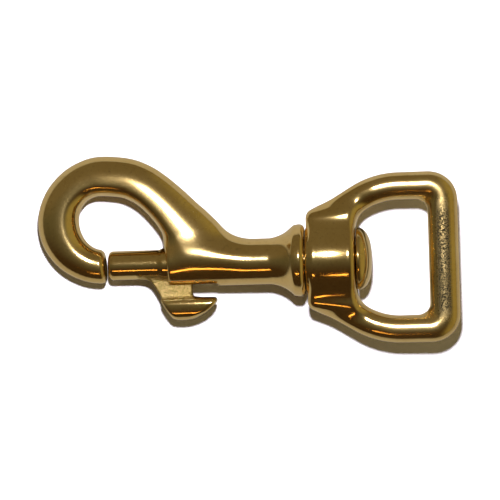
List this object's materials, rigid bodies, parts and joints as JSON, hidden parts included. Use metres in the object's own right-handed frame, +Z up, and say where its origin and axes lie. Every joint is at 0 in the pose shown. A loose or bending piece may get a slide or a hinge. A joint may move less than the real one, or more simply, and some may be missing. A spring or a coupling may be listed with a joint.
{
  "type": "swivel bolt snap",
  "caption": "Brass swivel snap: a cast hook closed by a spring bolt with a thumb piece, and a square eye for webbing that swivels on a riveted pin.",
  "frame": {"origin": "centre of the strap bar's section, on the swivel axis, halfway across the eye", "axes": "+X along the swivel axis, from the hook to the eye; +Y to the hook's back, with the thumb piece on the -Y side; +Z up, across the flat snap"},
  "size_m": [0.0917, 0.0428, 0.0158],
  "materials": {
    "polished_brass_body": "tumble-polished casting, bright, with a faint cast texture",
    "polished_brass_eye": "tumble-polished casting, satin speckle on the strap bar",
    "cast_brass_bolt": "polished bolt and thumb piece, rough as-cast web",
    "turned_brass_rivet": "smooth button head",
    "spring_wire": "drawn stainless wire"
  },
  "bodies": {
    "hook": {"hook_body": "polished_brass_body", "swivel_rivet": "turned_brass_rivet", "bolt_spring": "spring_wire"},
    "eye": {"swivel_eye": "polished_brass_eye"},
    "bolt": {"bolt": "cast_brass_bolt"}
  },
  "joints": [
    {"name": "bolt_slide", "type": "slide", "parent": "hook", "child": "bolt", "axis": [1, 0, 0], "range_m": [0, 0.0054], "stiffness_N_per_m": 600, "springref_m": -0.005, "deforming": ["bolt_spring"]},
    {"name": "eye_swivel", "type": "hinge", "parent": "hook", "child": "eye", "pos_m": [-0.02435, 0, 0], "axis": [1, 0, 0], "continuous": true}
  ]
}
